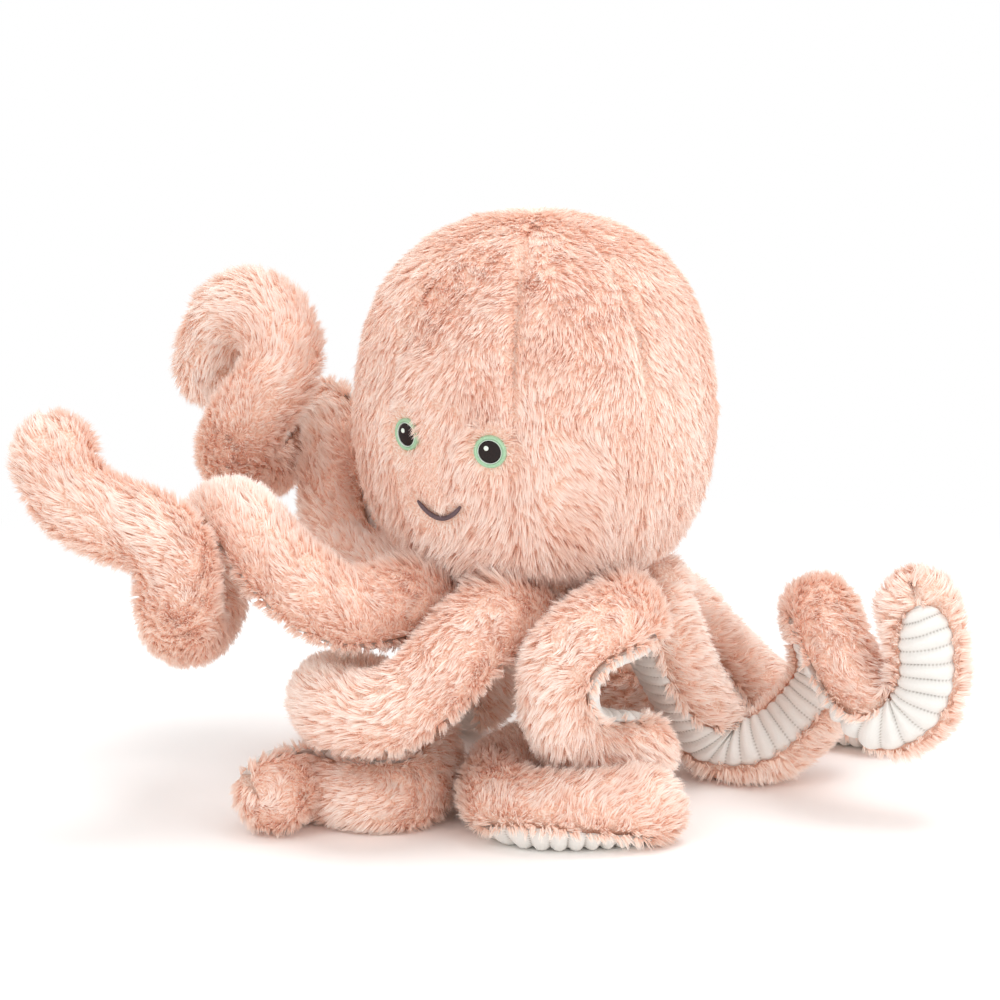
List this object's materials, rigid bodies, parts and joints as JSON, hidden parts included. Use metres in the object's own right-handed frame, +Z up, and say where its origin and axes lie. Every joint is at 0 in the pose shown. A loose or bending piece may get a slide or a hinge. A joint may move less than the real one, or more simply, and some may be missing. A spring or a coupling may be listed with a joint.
{
  "type": "plush octopus",
  "caption": "Soft fur toy octopus with a round head, a stitched face and eight long curled arms with corduroy undersides, sitting on its own arms.",
  "frame": {"origin": "on the floor, under the middle of the whole octopus's bounding box", "axes": "+Z up; the face looks toward -Y and the octopus's left is +X"},
  "size_m": [0.327, 0.3064, 0.235],
  "materials": {
    "fur": "long soft pile",
    "corduroy": "ribbed pile",
    "filling": "loose fibre",
    "green_thread": "satin stitch",
    "pale_thread": "satin stitch",
    "dark_thread": "satin stitch",
    "grey_thread": "satin stitch"
  },
  "bodies": {
    "head": {"head_gore_face": "fur", "head_gore_front_left": "fur", "head_gore_left": "fur", "head_gore_rear_left": "fur", "head_gore_back": "fur", "head_gore_rear_right": "fur", "head_gore_right": "fur", "head_gore_front_right": "fur", "head_base_disc": "corduroy", "head_stuffing": "filling", "eye_left_ring": "green_thread", "eye_left_line": "pale_thread", "eye_left_pupil": "dark_thread", "eye_left_glint": "pale_thread", "eye_right_ring": "green_thread", "eye_right_line": "pale_thread", "eye_right_pupil": "dark_thread", "eye_right_glint": "pale_thread", "smile": "grey_thread"},
    "arm_front_left": {"arm_front_left_fur": "fur", "arm_front_left_cord": "corduroy", "arm_front_left_stuffing": "filling"},
    "arm_side_left": {"arm_side_left_fur": "fur", "arm_side_left_cord": "corduroy", "arm_side_left_stuffing": "filling"},
    "arm_front_right": {"arm_front_right_fur": "fur", "arm_front_right_cord": "corduroy", "arm_front_right_stuffing": "filling"},
    "arm_side_right": {"arm_side_right_fur": "fur", "arm_side_right_cord": "corduroy", "arm_side_right_stuffing": "filling"},
    "arm_rear_left": {"arm_rear_left_fur": "fur", "arm_rear_left_cord": "corduroy", "arm_rear_left_stuffing": "filling"},
    "arm_back_left": {"arm_back_left_fur": "fur", "arm_back_left_cord": "corduroy", "arm_back_left_stuffing": "filling"},
    "arm_rear_right": {"arm_rear_right_fur": "fur", "arm_rear_right_cord": "corduroy", "arm_rear_right_stuffing": "filling"},
    "arm_back_right": {"arm_back_right_fur": "fur", "arm_back_right_cord": "corduroy", "arm_back_right_stuffing": "filling"}
  },
  "joints": [
    {"name": "arm_front_left_seam", "type": "hinge", "parent": "head", "child": "arm_front_left", "pos_m": [0.0115, -0.03799, 0.0832], "axis": [-0.9239, -0.3827, 0], "range_deg": [-5, 10]},
    {"name": "arm_side_left_seam", "type": "hinge", "parent": "head", "child": "arm_side_left", "pos_m": [0.03639, -0.0131, 0.0832], "axis": [-0.3827, -0.9239, 0], "range_deg": [0, 10]},
    {"name": "arm_front_right_seam", "type": "hinge", "parent": "head", "child": "arm_front_right", "pos_m": [-0.0237, -0.03799, 0.0832], "axis": [-0.9239, 0.3827, 0], "range_deg": [-5, 5]},
    {"name": "arm_side_right_seam", "type": "hinge", "parent": "head", "child": "arm_side_right", "pos_m": [-0.04859, -0.0131, 0.0832], "axis": [-0.3827, 0.9239, 0], "range_deg": [-25, 10]},
    {"name": "arm_rear_left_seam", "type": "hinge", "parent": "head", "child": "arm_rear_left", "pos_m": [0.03639, 0.0221, 0.0832], "axis": [0.3827, -0.9239, 0], "range_deg": [-5, 40]},
    {"name": "arm_back_left_seam", "type": "hinge", "parent": "head", "child": "arm_back_left", "pos_m": [0.0115, 0.04699, 0.0832], "axis": [0.9239, -0.3827, 0], "range_deg": [-5, 40]},
    {"name": "arm_rear_right_seam", "type": "hinge", "parent": "head", "child": "arm_rear_right", "pos_m": [-0.04859, 0.0221, 0.0832], "axis": [0.3827, 0.9239, 0], "range_deg": [-20, 40]},
    {"name": "arm_back_right_seam", "type": "hinge", "parent": "head", "child": "arm_back_right", "pos_m": [-0.0237, 0.04699, 0.0832], "axis": [0.9239, 0.3827, 0], "range_deg": [-5, 40]}
  ]
}
